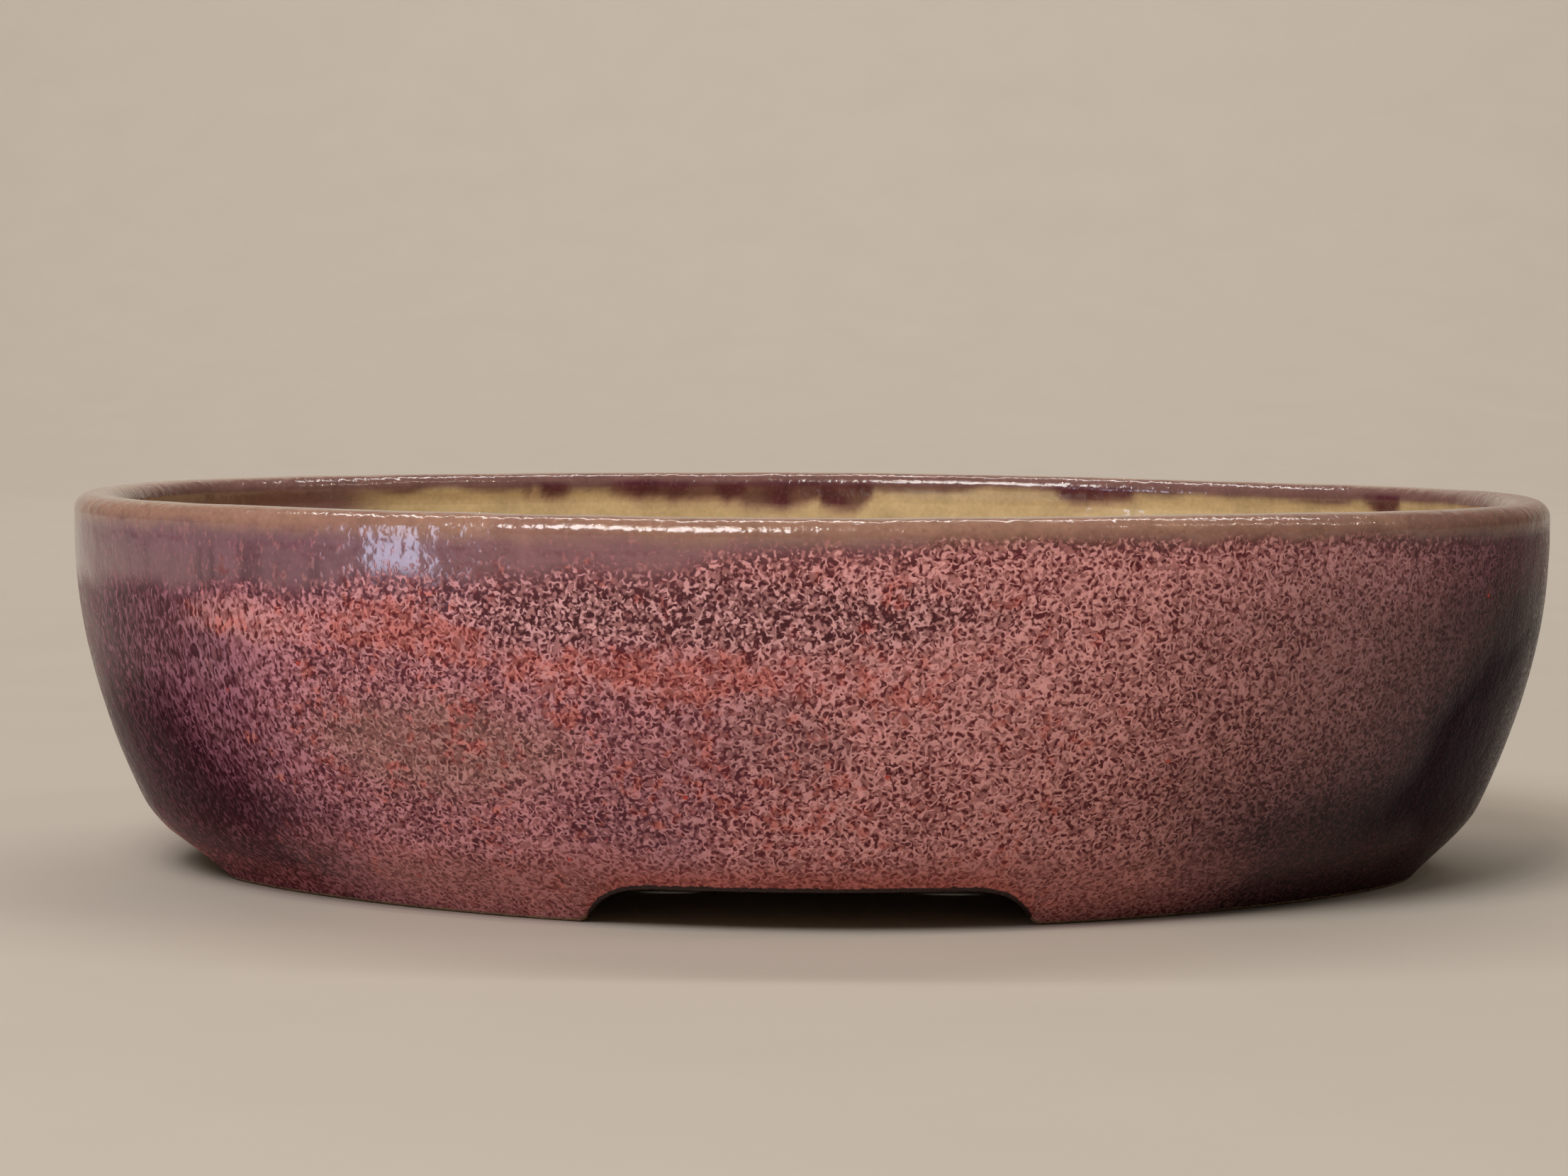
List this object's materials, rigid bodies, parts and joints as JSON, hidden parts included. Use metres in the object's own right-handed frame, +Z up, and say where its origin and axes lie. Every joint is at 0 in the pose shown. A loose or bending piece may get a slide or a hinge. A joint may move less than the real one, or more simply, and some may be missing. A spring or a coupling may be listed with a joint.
{
  "type": "bonsai pot",
  "caption": "Low oval glazed stoneware pot on cut feet, open at the top, with net-covered drain holes and tie-wire holes, for growing and showing a bonsai tree.",
  "frame": {"origin": "middle of the pot on the surface that its feet stand on", "axes": "+X along the long axis of the oval, to the right seen from the front; +Z up, out of the mouth; the front faces -Y"},
  "size_m": [0.26, 0.204, 0.066],
  "materials": {
    "outer_glaze": "glossy, flecked with small crystals",
    "floor_glaze": "glossy",
    "net_plastic": "matt, moulded",
    "clip_wire": "satin, brown anodised"
  },
  "bodies": {
    "root": {"rim_band": "outer_glaze", "pot_wall": "outer_glaze", "pot_floor": "floor_glaze", "foot_front_left": "outer_glaze", "foot_front_right": "outer_glaze", "foot_back_left": "outer_glaze", "foot_back_right": "outer_glaze", "drain_mesh_left": "net_plastic", "drain_mesh_right": "net_plastic", "mesh_clip_left": "clip_wire", "mesh_clip_right": "clip_wire"}
  },
  "joints": []
}
